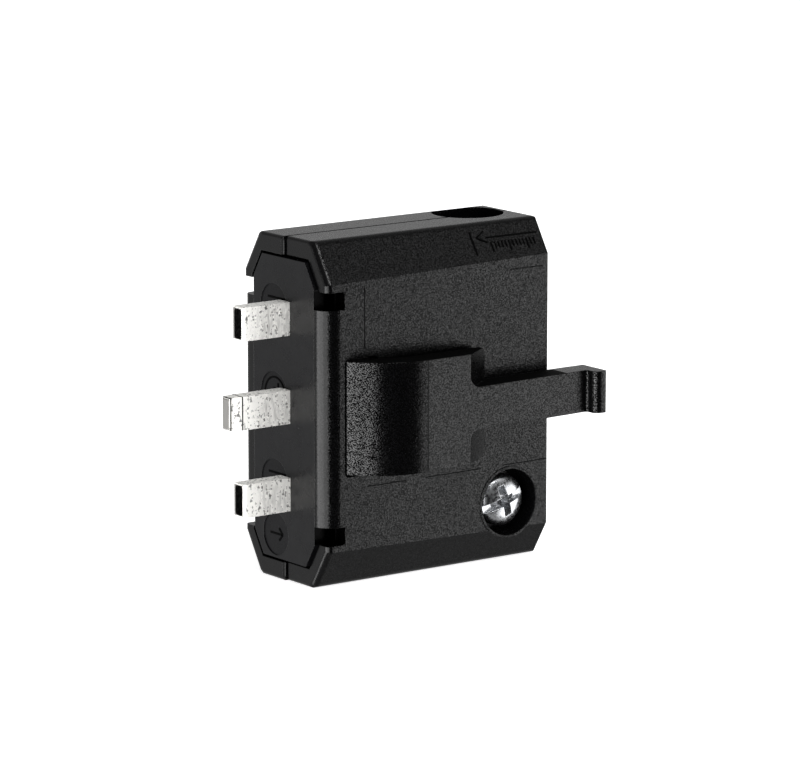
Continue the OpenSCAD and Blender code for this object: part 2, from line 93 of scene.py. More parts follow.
@dataclass
class Nodes:
    """Node tree of a material or world, with short calls for the nodes that are used here."""

    tree: bpy.types.NodeTree

    def add(
        self, kind: str, inputs: dict[int | str, object] | None = None, **settings: object,
    ) -> bpy.types.Node:
        """Add a node with its settings, socket values and links.

        Args:
            kind: Blender's name of the node type.
            inputs: A value, or a socket to link from, for each input.
            **settings: Properties of the node itself.

        Returns:
            The new node.
        """
        node = self.tree.nodes.new(kind)
        for name, value in settings.items():
            setattr(node, name, value)
        for key, value in (inputs or {}).items():
            if isinstance(value, bpy.types.NodeSocket):
                self.tree.links.new(value, node.inputs[key])
            else:
                node.inputs[key].default_value = value
        return node

    def surface(self, shader: bpy.types.Node, kind: str = "ShaderNodeOutputMaterial") -> None:
        """Link a shader to the output of the tree.

        Args:
            shader: Node whose first output is the finished shader.
            kind: Type of the output node.
        """
        self.add(kind, {"Surface": shader.outputs[0]})

    def place(self) -> Socket:
        """Return the object coordinates."""
        return self.add("ShaderNodeTexCoord").outputs["Object"]

    def axes(self, vector: Socket) -> bpy.types.NodeOutputs:
        """Return the X, Y and Z of a vector by name."""
        return self.add("ShaderNodeSeparateXYZ", {0: vector}).outputs

    def calc(self, operation: str, *values: Factor) -> Socket:
        """Add one step of arithmetic.

        Args:
            operation: Blender's name of the operation.
            *values: Its operands.

        Returns:
            The result's socket.
        """
        return self.add("ShaderNodeMath", dict(enumerate(values)), operation=operation).outputs[0]

    def product(self, *values: Factor) -> Factor:
        """Return the product of two or more factors."""
        return reduce(lambda a, b: self.calc("MULTIPLY", a, b), values)

    def highest(self, *masks: Factor) -> Factor:
        """Return the highest of two or more masks."""
        return reduce(lambda a, b: self.calc("MAXIMUM", a, b), masks)

    def apart(self, value: Socket, middle: float) -> Socket:
        """Distance of a coordinate from a middle.

        Args:
            value: Coordinate, in metres.
            middle: The middle, in millimetres.

        Returns:
            The distance's socket, in metres.
        """
        return self.calc("ABSOLUTE", self.calc("SUBTRACT", value, middle * MM))

    def within(self, value: Socket, low: float, high: float) -> Socket:
        """Mask that is 1 where a value lies between two limits.

        Args:
            value: Coordinate to test, in metres.
            low: Lower limit, in millimetres.
            high: Upper limit, in millimetres.

        Returns:
            The mask's socket.
        """
        return self.calc("COMPARE", value, (low + high) / 2 * MM, (high - low) / 2 * MM)

    def ramp(
        self, value: Socket, source: Sequence[float], target: Sequence[float] = UNIT, soft: bool = False,
    ) -> Socket:
        """Map one range onto another and stop at its ends.

        Args:
            value: Value to map.
            source: Where the value starts and ends.
            target: What it is mapped to at these two.
            soft: Whether it eases in and out.

        Returns:
            The mapped value's socket.
        """
        return self.add("ShaderNodeMapRange", {
            "Value": value, "From Min": source[0], "From Max": source[1], "To Min": target[0],
            "To Max": target[1]}, interpolation_type="SMOOTHSTEP" if soft else "LINEAR").outputs[0]

    def mix(self, share: Factor, first: Factor, second: Factor) -> Socket:
        """Mix two numbers.

        Args:
            share: Share of the second one.
            first: Number at a share of 0.
            second: Number at a share of 1.

        Returns:
            The mixed number's socket.
        """
        inputs = {0: share, "A": first, "B": second}
        return self.add("ShaderNodeMix", inputs, data_type="FLOAT").outputs["Result"]

    def blend(self, share: Factor, first: Colour, second: Colour) -> Socket:
        """Mix two colours.

        Args:
            share: Share of the second one.
            first: Hex value or socket at a share of 0.
            second: Hex value or socket at a share of 1.

        Returns:
            The mixed colour's socket.
        """
        a, b = (linear(colour) if isinstance(colour, str) else colour for colour in (first, second))
        return self.add("ShaderNodeMix", {0: share, "A": a, "B": b}, data_type="RGBA").outputs["Result"]

    def noise(self, place: Socket, size_mm: float, detail: float, roughness: float = 0.5) -> Socket:
        """Add a noise texture.

        Args:
            place: Coordinates that it lies on.
            size_mm: Size of its largest spots.
            detail: How many finer layers it has.
            roughness: Strength of the finer layers.

        Returns:
            Its value's socket.
        """
        return self.add("ShaderNodeTexNoise", {
            "Vector": place, "Scale": 1 / (size_mm * MM), "Detail": detail,
            "Roughness": roughness}).outputs["Fac"]

    def rounded(self, radius_mm: float, samples: int = 6) -> Socket:
        """Normal that rounds the edges.

        Args:
            radius_mm: Radius of the rounding.
            samples: Rays that look for edges.

        Returns:
            The normal's socket.
        """
        return self.add("ShaderNodeBevel", {"Radius": radius_mm * MM}, samples=samples).outputs[0]

    def bump(
        self, height: Socket, depth_mm: float, normal: Socket | None = None, strength: Factor = 1.0,
    ) -> Socket:
        """Normal of a fine relief.

        Args:
            height: Height of the relief, from 0 to 1.
            depth_mm: Depth between these two.
            normal: Normal that it starts from, if it isn't the mesh's own.
            strength: Share of the relief that is used.

        Returns:
            The normal's socket.
        """
        inputs = {"Strength": strength, "Distance": depth_mm * MM, "Height": height}
        if normal is not None:
            inputs["Normal"] = normal
        return self.add("ShaderNodeBump", inputs).outputs[0]


def new_material(name: str) -> tuple[bpy.types.Material, Nodes]:
    """Start a material with an empty tree.

    Args:
        name: Name of the real material.

    Returns:
        The material and its nodes.
    """
    material = bpy.data.materials.new(name)
    material.use_nodes = True
    material.node_tree.nodes.clear()
    return material, Nodes(material.node_tree)


@dataclass(frozen=True)
class LatchNotches:
    """Places of the four deep notches in the mating edge, whose walls are painted black as painted shade."""

    start_x: float = -14.3
    end_x: float = -11.42
    middle_y: float = 2.32
    inner_y: float = 5.84
    outer_y: float = 7.84
    middle_z: float = 19.55
    inner_z: float = 12.26
    outer_z: float = 14.34

    def mask(self, nodes: Nodes, place: Socket) -> Factor:
        """Mask that is 1 on the walls of the notches.

        Args:
            nodes: Nodes of the material.
            place: Object coordinates.

        Returns:
            The mask's socket.
        """
        part = nodes.axes(place)
        return nodes.product(
            nodes.within(part["X"], self.start_x, self.end_x),
            nodes.within(nodes.apart(part["Y"], self.middle_y), self.inner_y, self.outer_y),
            nodes.within(nodes.apart(part["Z"], self.middle_z), self.inner_z, self.outer_z))


@dataclass(frozen=True)
class GrainedPolyamide:
    """Black polyamide, moulded in a spark-eroded cavity, with a smooth mating end.

    The eroded steel leaves small round pits, drawn as a fine bump. Their floors trap light and their rims
    catch it, and this is painted: a fine noise lowers the specular tint as painted shade of the floors and
    lifts the base colour a little as painted glints of the rims, so that a highlight breaks into fine
    sparkle, while the polished mating end stays even. Each moulded edge has a fine light line, because it
    is a little round. Painted shade darkens the upper walls of the latch, where it lies over the body,
    which are also rougher, as well as the notches of the mating edge, a line across the latch and the
    outer half of the seam's broken edge.
    """

    name: str = "spark_eroded_black_polyamide"
    deep: str = "#020202"
    # Painted glints: base colour of the pit rims, reached where a slow random cloud noise is high as well.
    painted_glint: str = "#060607"
    # Painted shade: specular tint of the pit floors.
    shaded: str = "#060606"
    # The real pits are about 0.08 mm wide, too fine to show, so they are drawn twice as coarse.
    pit_mm: float = 0.15
    pit_detail: float = 0.6
    fleck_mm: float = 0.125
    fleck_detail: float = 0.3
    cloud_mm: float = 6.0
    cloud_detail: float = 3.0
    depth_mm: float = 0.018
    edge_mm: float = 0.13
    # Turned, so that no face lies along the planes of the noise, where it would be uneven.
    noise_turn: Triple = (0.6, 0.45, 0.75)
    # Fleck noise values over which the painted shade of the pit floors turns into painted glints of their
    # rims.
    rims: Span = (0.45, 0.6)
    rough: Span = (0.18, 0.28)
    gloss: float = 0.21
    ior: float = 1.53
    # Along X, the smooth mating end passes into the grain between these two.
    smooth_x: Span = (-13.6, -13.3)
    smooth_grain: float = 0.12
    smooth_sheen: float = 0.5
    latch_y: Span = (-20.0, -5.95)
    # Line across the latch where its ramp meets its flat, painted near black as a line of painted shade.
    line_x: Span = (-3.18, -2.98)
    line_shade: float = 0.93
    # Upper walls of the latch over the body, painted darker as painted shade and made rougher.
    wall_rise: Span = (0.7, 0.9)
    wall_shade: float = 0.88
    wall_rough: float = 0.9
    body_x: Span = (-20.0, 17.3)
    # Outer half of the broken edge along the seam, which runs out into the mating face, painted darker as
    # painted shade over its light line.
    seam_x: Span = (-14.35, -14.09)
    seam_y: Span = (2.53, 2.73)
    seam_shade: float = 0.72

    def painted_shade_places(self, nodes: Nodes, place: Socket) -> tuple[Factor, Factor]:
        """Masks of the places where shade is painted.

        Args:
            nodes: Nodes of the material.
            place: Object coordinates.

        Returns:
            The mask of the latch's upper walls, and the mask of all places of painted shade.
        """
        part = nodes.axes(place)
        latch = nodes.within(part["Y"], *self.latch_y)
        faces = nodes.add("ShaderNodeNewGeometry").outputs["True Normal"]
        upward = nodes.ramp(nodes.axes(faces)["Z"], self.wall_rise, (0.0, self.wall_shade))
        walls = nodes.product(latch, upward, nodes.within(part["X"], *self.body_x))
        line = nodes.product(nodes.within(part["X"], *self.line_x), latch, self.line_shade)
        seam = nodes.product(nodes.within(part["X"], *self.seam_x), nodes.within(part["Y"], *self.seam_y),
                             self.seam_shade)
        return walls, nodes.highest(line, walls, seam, LatchNotches().mask(nodes, place))

    def build(self) -> bpy.types.Material:
        """Return the material."""
        material, nodes = new_material(self.name)
        place = nodes.place()
        turned = nodes.add("ShaderNodeMapping", {"Vector": place, "Rotation": self.noise_turn}).outputs[0]
        pits = nodes.noise(turned, self.pit_mm, self.pit_detail)
        fleck = nodes.noise(turned, self.fleck_mm, self.fleck_detail)
        clouds = nodes.noise(place, self.cloud_mm, self.cloud_detail)
        grained = nodes.ramp(nodes.axes(place)["X"], [x * MM for x in self.smooth_x],
                             (self.smooth_grain, 1.0))
        lit = nodes.mix(grained, self.smooth_sheen, nodes.ramp(fleck, self.rims))
        # Painted shade: base colour and specular tint darken towards black on the latch's upper walls, the
        # line across the latch, the seam's outer edge and the notches.
        walls, dull = self.painted_shade_places(nodes, place)
        open_share = nodes.calc("SUBTRACT", 1.0, dull)
        # Base colour: painted glints over a slow random tone; specular tint: painted shade of the pit
        # floors.
        tone = nodes.blend(nodes.product(clouds, lit), self.deep, self.painted_glint)
        sheen = nodes.blend(lit, self.shaded, WHITE)
        rough = nodes.ramp(pits, NOISE_CORE, self.rough)
        nodes.surface(nodes.add("ShaderNodeBsdfPrincipled", {
            "Base Color": nodes.blend(open_share, BLACK, tone),
            "Roughness": nodes.mix(walls, rough, self.wall_rough), "IOR": self.ior,
            "Specular IOR Level": self.gloss, "Specular Tint": nodes.blend(open_share, BLACK, sheen),
            "Normal": nodes.bump(pits, self.depth_mm, nodes.rounded(self.edge_mm), grained)}))
        return material


@dataclass(frozen=True)
class SatinPolyamide:
    """Dark polyamide from a polished cavity, as on the contact carrier.

    Its even satin face has only a faint flow mottle and a soft sheen, and the floors of its label discs
    are a shade duller.
    """

    name: str = "satin_dark_polyamide"
    deep: str = "#050506"
    pale: str = "#09090a"
    mottle_mm: float = 1.4
    mottle_detail: float = 4.0
    grain_mm: float = 0.3
    grain_detail: float = 1.0
    depth_mm: float = 0.004
    edge_mm: float = 0.08
    rough: Span = (0.24, 0.34)
    gloss: float = 0.125
    ior: float = 1.53
    disc_floor_x: Span = (-14.19, -14.05)
    disc_sheen: str = "#9c9c9c"

    def build(self) -> bpy.types.Material:
        """Return the material."""
        material, nodes = new_material(self.name)
        place = nodes.place()
        mottle = nodes.noise(place, self.mottle_mm, self.mottle_detail)
        grain = nodes.noise(place, self.grain_mm, self.grain_detail)
        tone = nodes.blend(mottle, self.deep, self.pale)
        floors = nodes.within(nodes.axes(place)["X"], *self.disc_floor_x)
        sheen = nodes.blend(floors, WHITE, self.disc_sheen)
        # The walls of the notches are painted black: painted shade.
        open_share = nodes.calc("SUBTRACT", 1.0, LatchNotches().mask(nodes, place))
        nodes.surface(nodes.add("ShaderNodeBsdfPrincipled", {
            "Base Color": nodes.blend(open_share, BLACK, tone),
            "Roughness": nodes.ramp(mottle, NOISE_CORE, self.rough), "IOR": self.ior,
            "Specular IOR Level": self.gloss, "Specular Tint": nodes.blend(open_share, BLACK, sheen),
            "Normal": nodes.bump(grain, self.depth_mm, nodes.rounded(self.edge_mm))}))
        return material


@dataclass(frozen=True)
class MattPolyamide:
    """Matt black polyamide, as on the raised marks and witness lines.

    It scatters light, so that the lines read darker than the face that they stand on.
    """

    name: str = "etched_matt_black_polyamide"
    deep: str = "#020202"
    pale: str = "#060606"
    etch_mm: float = 0.2
    etch_detail: float = 2.0
    rough: Span = (0.5, 0.7)
    gloss: float = 0.01
    ior: float = 1.53

    def build(self) -> bpy.types.Material:
        """Return the material."""
        material, nodes = new_material(self.name)
        etch = nodes.noise(nodes.place(), self.etch_mm, self.etch_detail)
        nodes.surface(nodes.add("ShaderNodeBsdfPrincipled", {
            "Base Color": nodes.blend(etch, self.deep, self.pale),
            "Roughness": nodes.ramp(etch, UNIT, self.rough), "IOR": self.ior,
            "Specular IOR Level": self.gloss}))
        return material


@dataclass(frozen=True)
class TinPlate:
    """Matt tin plate over stamped brass, as on the contact blades.

    It is near white, with dark pits and short rubbed streaks across the blade from the stamping. The
    ends of the blades are painted grey, and the end faces of the two line blades near black inside that
    grey rim, as painted shade.
    """

    name: str = "matt_tin_plate"
    bright: str = "#fbfaf7"
    pit: str = "#303132"
    end_shade: str = "#050505"
    end_rim_shade: str = "#7c7b79"
    pit_mm: float = 0.3
    pit_detail: float = 2.0
    pit_roughness: float = 0.6
    streak_mm: float = 0.36
    streak_detail: float = 3.0
    streak_stretch: Triple = (1.0, 1.0, 0.25)
    dark: Span = (0.29, 0.38)
    dark_share: float = 0.8
    end_mottle: Span = (0.46, 0.68)
    end_mottle_share: float = 0.97
    depth_mm: float = 0.01
    rough: Span = (0.6, 0.8)
    blade_z: float = 20.15
    pitch: float = 10.0
    line_end_x: float = -20.65
    earth_end_x: float = -22.25
    cut_half: float = 0.06
    # Near-black painted shade in the middle of the two line blades' end faces, with rounded corners.
    end_shade_y: float = 1.97
    end_shade_half_x: float = 0.03
    end_shade_half_y: float = 0.7
    end_shade_half_z: float = 1.76
    end_shade_corner: float = 0.45
    end_shade_blur: float = 0.05
    # Dark lines of painted shade across the earth blade, from its tip and from where its taper starts.
    tip_line: Span = (0.09, 0.26)
    taper_line: Span = (-0.1, 0.08)
    line_shade: float = 0.9

    def end_shade_mask(self, nodes: Nodes, place: Socket) -> Factor:
        """Mask of painted shade: the line blades' end faces and the dark lines across the earth blade.

        Args:
            nodes: Nodes of the material.
            place: Object coordinates.

        Returns:
            The mask's socket.
        """
        part = nodes.axes(place)
        up = nodes.calc("WRAP", part["Z"], (self.blade_z + self.pitch / 2) * MM,
                        (self.blade_z - self.pitch / 2) * MM)
        over = []
        for value, middle, half in ((part["Y"], self.end_shade_y, self.end_shade_half_y),
                                    (up, self.blade_z, self.end_shade_half_z)):
            beyond = nodes.calc("SUBTRACT", nodes.apart(value, middle), (half - self.end_shade_corner) * MM)
            over.append(nodes.calc("MAXIMUM", beyond, 0.0))
        corner = nodes.add("ShaderNodeCombineXYZ", {"X": over[0], "Y": over[1]}).outputs[0]
        reach = nodes.add("ShaderNodeVectorMath", {0: corner}, operation="LENGTH").outputs["Value"]
        inside = nodes.ramp(reach, [(self.end_shade_corner + side * self.end_shade_blur) * MM for side in (1, -1)])
        line_end = nodes.within(part["X"], self.line_end_x - self.end_shade_half_x,
                                self.line_end_x + self.end_shade_half_x)
        earth = nodes.within(part["Z"], self.blade_z - self.pitch / 4, self.blade_z + self.pitch / 4)
        across = nodes.highest(*(nodes.within(part["X"], *(end + x for x in line)) for end, line in (
            (self.earth_end_x, self.tip_line), (self.line_end_x, self.taper_line))))
        return nodes.highest(nodes.product(inside, line_end), nodes.product(earth, across, self.line_shade))

    def build(self) -> bpy.types.Material:
        """Return the material."""
        material, nodes = new_material(self.name)
        place = nodes.place()
        drawn = nodes.add("ShaderNodeMapping", {"Vector": place, "Scale": self.streak_stretch}).outputs[0]
        streaks = nodes.noise(drawn, self.streak_mm, self.streak_detail)
        pits = nodes.noise(place, self.pit_mm, self.pit_detail, self.pit_roughness)
        both = nodes.product(streaks, pits)
        plate = nodes.blend(nodes.ramp(both, self.dark, (0.0, self.dark_share)), self.bright, self.pit)
        along = nodes.axes(place)["X"]
        # Grey band of painted shade at the end of each blade.
        cut = nodes.highest(*(nodes.within(along, x - self.cut_half, x + self.cut_half)
                              for x in (self.earth_end_x, self.line_end_x)))
        # Near-black painted shade on the end faces of the line blades, with a faint mottle.
        end_mottle = nodes.ramp(pits, self.end_mottle, (1.0, self.end_mottle_share))
        tone = nodes.blend(nodes.product(self.end_shade_mask(nodes, place), end_mottle),
                           nodes.blend(cut, plate, self.end_rim_shade), self.end_shade)
        nodes.surface(nodes.add("ShaderNodeBsdfPrincipled", {
            "Base Color": tone, "Metallic": 1.0, "Roughness": nodes.ramp(streaks, NOISE_CORE, self.rough),
            "Specular Tint": tone, "Normal": nodes.bump(both, self.depth_mm)}))
        return material


@dataclass(frozen=True)
class PlatedSteel:
    """Bright zinc over cold-headed steel, as on the screws.

    It mirrors the studio in hard light and dark patches, broken by fine dents of the heading tool.
    """

    name: str = "bright_zinc_plated_steel"
    bright: str = "#c6c7c9"
    dull: str = "#97999c"
    dent_mm: float = 0.35
    dent_detail: float = 3.0
    depth_mm: float = 0.008
    edge_mm: float = 0.12
    rough: Span = (0.2, 0.36)

    def build(self) -> bpy.types.Material:
        """Return the material."""
        material, nodes = new_material(self.name)
        dents = nodes.noise(nodes.place(), self.dent_mm, self.dent_detail)
        nodes.surface(nodes.add("ShaderNodeBsdfPrincipled", {
            "Base Color": nodes.blend(dents, self.dull, self.bright), "Metallic": 1.0,
            "Roughness": nodes.ramp(dents, NOISE_CORE, self.rough),
            "Normal": nodes.bump(dents, self.depth_mm, nodes.rounded(self.edge_mm))}))
        return material


@dataclass(frozen=True)
class DrawnBrass:
    """Bare drawn brass, as on the box clamps inside the shells.

    It is a warm yellow metal with draw lines along X.
    """

    name: str = "drawn_brass"
    bright: str = "#d9b56a"
    dull: str = "#a9853f"
    line_mm: float = 0.15
    line_detail: float = 2.0
    line_stretch: Triple = (0.05, 1.0, 1.0)
    rough: Span = (0.22, 0.4)

    def build(self) -> bpy.types.Material:
        """Return the material."""
        material, nodes = new_material(self.name)
        drawn = nodes.add("ShaderNodeMapping", {"Vector": nodes.place(), "Scale": self.line_stretch})
        lines = nodes.noise(drawn.outputs[0], self.line_mm, self.line_detail)
        nodes.surface(nodes.add("ShaderNodeBsdfPrincipled", {
            "Base Color": nodes.blend(lines, self.dull, self.bright), "Metallic": 1.0,
            "Roughness": nodes.ramp(lines, UNIT, self.rough)}))
        return material


def object_mode() -> None:
    """Leave edit mode."""
    bpy.ops.object.mode_set(mode="OBJECT")


def deselect_all() -> None:
    """Go back to object mode with nothing selected."""
    if bpy.context.mode != "OBJECT":
        object_mode()
    bpy.ops.object.select_all(action="DESELECT")


def pick(piece: bpy.types.Object) -> None:
    """Make a piece the only selected and active object."""
    deselect_all()
    piece.select_set(True)
    bpy.context.view_layer.objects.active = piece


def edit_faces(piece: bpy.types.Object, test: Callable[[bpy.types.MeshPolygon], bool]) -> None:
    """Enter edit mode with the faces that pass a test selected.

    Args:
        piece: Mesh object to edit.
        test: Says whether a face is selected.
    """
    pick(piece)
    bpy.ops.object.mode_set(mode="EDIT")
    bpy.ops.mesh.select_mode(type="FACE")
    bpy.ops.mesh.select_all(action="DESELECT")
    object_mode()
    for face in piece.data.polygons:
        face.select = test(face)
    bpy.ops.object.mode_set(mode="EDIT")


def is_top(face: bpy.types.MeshPolygon) -> bool:
    """Say whether a face is level and looks up."""
    return face.normal.z > LEVEL


def is_bottom(face: bpy.types.MeshPolygon) -> bool:
    """Say whether a face is level and looks down."""
    return face.normal.z < -LEVEL


def settle(piece: bpy.types.Object, place: Matrix | None = None) -> bpy.types.Object:
    """Put a piece's place into its mesh, so that its object sits at the origin.

    Args:
        piece: Mesh object, placed or at the origin.
        place: Further move and turn to apply.

    Returns:
        The same object.
    """
    pick(piece)
    if place is not None:
        piece.matrix_world = place @ piece.matrix_world
    bpy.ops.object.transform_apply(location=True, rotation=True, scale=True)
    return piece


def join(name: str, pieces: Sequence[bpy.types.Object]) -> bpy.types.Object:
    """Join pieces of one moulding into one object.

    Args:
        name: Name of the joined piece.
        pieces: Two or more objects to join, the first of which stays.

    Returns:
        The joined object.
    """
    pick(pieces[0])
    for piece in pieces[1:]:
        piece.select_set(True)
    bpy.ops.object.join()
    pieces[0].name = pieces[0].data.name = name
    return pieces[0]


def dress(piece: bpy.types.Object, material: bpy.types.Material, angle: float = 40.0) -> None:
    """Finish a new piece: smooth shading, material, slot and body.

    Args:
        piece: Finished mesh object at the origin.
        material: Its only material.
        angle: Edges sharper than this many degrees stay sharp.
    """
    pick(piece)
    bpy.ops.object.shade_smooth_by_angle(angle=math.radians(angle))
    piece.data.materials.clear()
    piece.data.materials.append(material)
    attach(piece, BODY)
    LOG.info("%s: %d faces", piece.name, len(piece.data.polygons))


def paint(node: str, material: bpy.types.Material) -> None:
    """Put a material into the slots of a CAD node's object.

    Args:
        node: Name of the node.
        material: Its new material.
    """
    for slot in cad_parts[node].material_slots:
        slot.material = material
    LOG.info("%s: %s", node, material.name)


@dataclass(frozen=True)
class Relief:
    """Low raised line that a tool leaves on a moulding, with softened upper edges."""

    width: float
    height: float
    soft_share: float = 0.6
    soft_steps: int = 3
    ring_steps: int = 64

    def soften(self) -> None:
        """Round the selected edges and leave edit mode."""
        bpy.ops.mesh.bevel(offset=self.height * self.soft_share * MM, segments=self.soft_steps,
                           affect="EDGES")
        object_mode()

    def bar(self, start: Point, end: Point) -> bpy.types.Object:
        """Model one straight bar on the X-Y plane.

        Args:
            start: Its first end, in millimetres.
            end: Its other end.

        Returns:
            The bar, flat side on the plane and sunk into it a little.
        """
        a, b = Vector(start), Vector(end)
        middle = (a + b) / 2
        deselect_all()
        bpy.ops.mesh.primitive_cube_add(
            size=1, location=(middle.x * MM, middle.y * MM, 0),
            rotation=(0, 0, math.atan2(b.y - a.y, b.x - a.x)))
        bar = bpy.context.object
        bar.scale = ((b - a).length * MM, self.width * MM, 2 * self.height * MM)
        settle(bar)
        edit_faces(bar, is_top)
        self.soften()
        return bar

    def ring(self, centre: Point, radius: float) -> bpy.types.Object:
        """Model one ring on the X-Y plane.

        Args:
            centre: Its middle, in millimetres.
            radius: Its outer radius.

        Returns:
            The ring, sunk into the plane a little.
        """
        hub = Vector((centre[0] * MM, centre[1] * MM, 0))
        deselect_all()
        bpy.ops.mesh.primitive_cylinder_add(
            vertices=self.ring_steps, radius=radius * MM, depth=2 * self.height * MM, end_fill_type="NGON",
            location=hub)
        ring = settle(bpy.context.object)
        edit_faces(ring, lambda face: is_top(face) or is_bottom(face))
        bpy.ops.mesh.inset(thickness=self.width * MM, use_individual=True)
        bpy.ops.mesh.delete(type="ONLY_FACE")
        object_mode()
        edit_faces(ring, lambda face: False)
        bpy.ops.mesh.select_mode(type="EDGE")
        object_mode()
        points, half_way = ring.data.vertices, (radius - self.width / 2) * MM
        for edge in ring.data.edges:
            edge.select = all((points[i].co - hub).xy.length < half_way for i in edge.vertices)
        bpy.ops.object.mode_set(mode="EDIT")
        bpy.ops.mesh.bridge_edge_loops()
        bpy.ops.mesh.select_all(action="SELECT")
        bpy.ops.mesh.normals_make_consistent(inside=False)
        object_mode()
        edit_faces(ring, is_top)
        bpy.ops.mesh.region_to_loop()
        self.soften()
        return ring


def onto(origin: Vector, along: Vector, up: Vector) -> Matrix:
    """Matrix that lays the X-Y plane onto a face.

    Args:
        origin: Where the plane's origin goes, in millimetres.
        along: Direction of the plane's X on the face.
        up: Direction of the plane's Y on the face.

    Returns:
        The move and turn, in metres.
    """
    out = along.cross(up)
    turn = Matrix((along, up, out)).transposed().to_4x4()
    return Matrix.Translation(origin * MM) @ turn


@dataclass
class Shells:
    """Front and rear shell with the latch, and the marks moulded on them."""

    chamfer_top_y: float = -2.7302
    chamfer_top_z: float = 39.3
    chamfer_slope: float = 1.6
    front_y0: float = -5.5802
    front_x0: float = -14.25
    front_rise: float = 0.4 / 31.6
    # Arrow of the strip mark: its stop line, the two sides of its head, and its shaft.
    arrow: Relief = Relief(0.17, 0.15)
    arrow_lines: tuple[Line, ...] = (
        ((7.35, -1.05), (7.46, -3.95)), ((8.07, -1.85), (9.3, -1.1)),
        ((8.07, -1.85), (9.4, -2.53)), ((9.4, -1.93), (16.55, -1.93)))
    # Scale below the arrow, in which every fifth tick is longer.
    tick: Relief = Relief(0.14, 0.13)
    ticks: int = 13
    tick_x0: float = 9.85
    tick_pitch: float = 0.5
    tick_lean: float = 0.05
    tick_top: float = -2.5
    tick_end: float = -3.3
    long_tick_end: float = -3.75
    long_tick_step: int = 5
    # Lines that the inserts of the mould leave on the front.
    witness: Relief = Relief(0.09, 0.035)
    witness_lines: tuple[Line, ...] = (
        ((-8.75, 27.1), (-8.75, 34.2)), ((-8.35, 11.5), (-2.95, 11.5)), ((-0.25, 11.5), (7.65, 11.5)),
        ((10.75, 11.5), (17.1, 11.5)), ((11.75, 34.0), (16.35, 34.0)))

    def front_plane(self) -> Matrix:
        """Matrix that lays X-Y onto the front face, with X and Z of the part kept as its axes."""
        along = Vector((1, self.front_rise, 0)).normalized()
        origin = Vector((0, self.front_y0 - self.front_x0 * self.front_rise, 0))
        return onto(origin, along, Vector((0, 0, 1)))

    def chamfer_plane(self) -> Matrix:
        """Matrix that lays X-Y onto the upper front chamfer, with Y falling from 0 at its top."""
        up = Vector((0, 1, self.chamfer_slope)).normalized()
        return onto(Vector((0, self.chamfer_top_y, self.chamfer_top_z)), Vector((1, 0, 0)), up)

    def build(self) -> list[bpy.types.Object]:
        """Model the strip mark on the chamfer and the witness lines of the mould inserts.

        Returns:
            The new pieces.
        """
        bars = [self.arrow.bar(*line) for line in self.arrow_lines]
        for i in range(self.ticks):
            x = self.tick_x0 + i * self.tick_pitch
            end = self.tick_end if i % self.long_tick_step else self.long_tick_end
            bars.append(self.tick.bar((x, self.tick_top), (x + self.tick_lean, end)))
        strip = settle(join("strip_mark", bars), self.chamfer_plane())
        lines = [self.witness.bar(*line) for line in self.witness_lines]
        return [strip, settle(join("insert_witness_lines", lines), self.front_plane())]

    def dress(self, grained: bpy.types.Material, matt: bpy.types.Material) -> None:
        """Give the shells the grained plastic and their marks the matt one.

        Args:
            grained: Finish of both shells.
            matt: Finish of the strip mark and the witness lines.
        """
        for node in ("front_housing", "rear_housing"):
            paint(node, grained)
        for piece in self.build():
            dress(piece, matt)


@dataclass
class Carrier:
    """Contact carrier with its pole marks, blades, clamps and clamp screws."""

    floor_x: float = -14.13
    disc_y: float = 4.2198
    poles_z: Triple = (31.15, 21.15, 11.15)
    low_disc_y: float = 4.0198
    low_disc_z: float = 5.15
    mark: Relief = Relief(0.26, 0.07)
    # Bar of the two line poles, by its ends and its height above the middle of the disc.
    pole_bar: Span = (-5.5, -2.2)
    pole_bar_rise: float = 1.0
    # Earth symbol in its ring: place and half length of each bar.
    earth_ring: Relief = Relief(0.22, 0.07)
    earth_ring_r: float = 2.05
    earth_bars: tuple[Point, ...] = ((3.6, 1.3), (4.35, 0.78), (5.05, 0.3))
    arrow_half: float = 1.2
    arrow_head: float = 0.7

    def face_plane(self) -> Matrix:
        """Matrix that lays X-Y onto the disc floors, X pointing to the part's -Y and Y up."""
        return onto(Vector((self.floor_x, 0, 0)), Vector((0, -1, 0)), Vector((0, 0, 1)))

    def build(self) -> bpy.types.Object:
        """Model the pole bars, the earth symbol and the arrow of the mould insert.

        Returns:
            All the marks as one piece.
        """
        upper, middle, lower = self.poles_z
        left, right = self.pole_bar
        marks = [self.mark.bar((left, z + self.pole_bar_rise), (right, z + self.pole_bar_rise))
                 for z in (upper, lower)]
        marks.append(self.earth_ring.ring((-self.disc_y, middle), self.earth_ring_r))
        marks += [self.mark.bar((-y, middle - half), (-y, middle + half)) for y, half in self.earth_bars]
        y, z = -self.low_disc_y, self.low_disc_z
        tip, barb = y + self.arrow_half, y + self.arrow_half - self.arrow_head
        marks += [self.mark.bar((y - self.arrow_half, z), (tip, z)),
                  self.mark.bar((tip, z), (barb, z + self.arrow_head)),
                  self.mark.bar((tip, z), (barb, z - self.arrow_head))]
        return settle(join("pole_marks", marks), self.face_plane())

    def dress(self, satin: bpy.types.Material, matt: bpy.types.Material, tin: bpy.types.Material,
              brass: bpy.types.Material, steel: bpy.types.Material) -> None:
        """Give the carrier and what it holds their finishes.

        Args:
            satin: Finish of the carrier.
            matt: Finish of its raised marks.
            tin: Finish of the contacts.
            brass: Finish of the clamps.
            steel: Finish of the clamp screws.
        """
        paint("contact_carrier", satin)
        dress(self.build(), matt)
        for pole in ("upper", "earth", "lower"):
            paint(f"{pole}_contact", tin)
            paint(f"{pole}_clamp", brass)
            paint(f"{pole}_clamp_screw", steel)


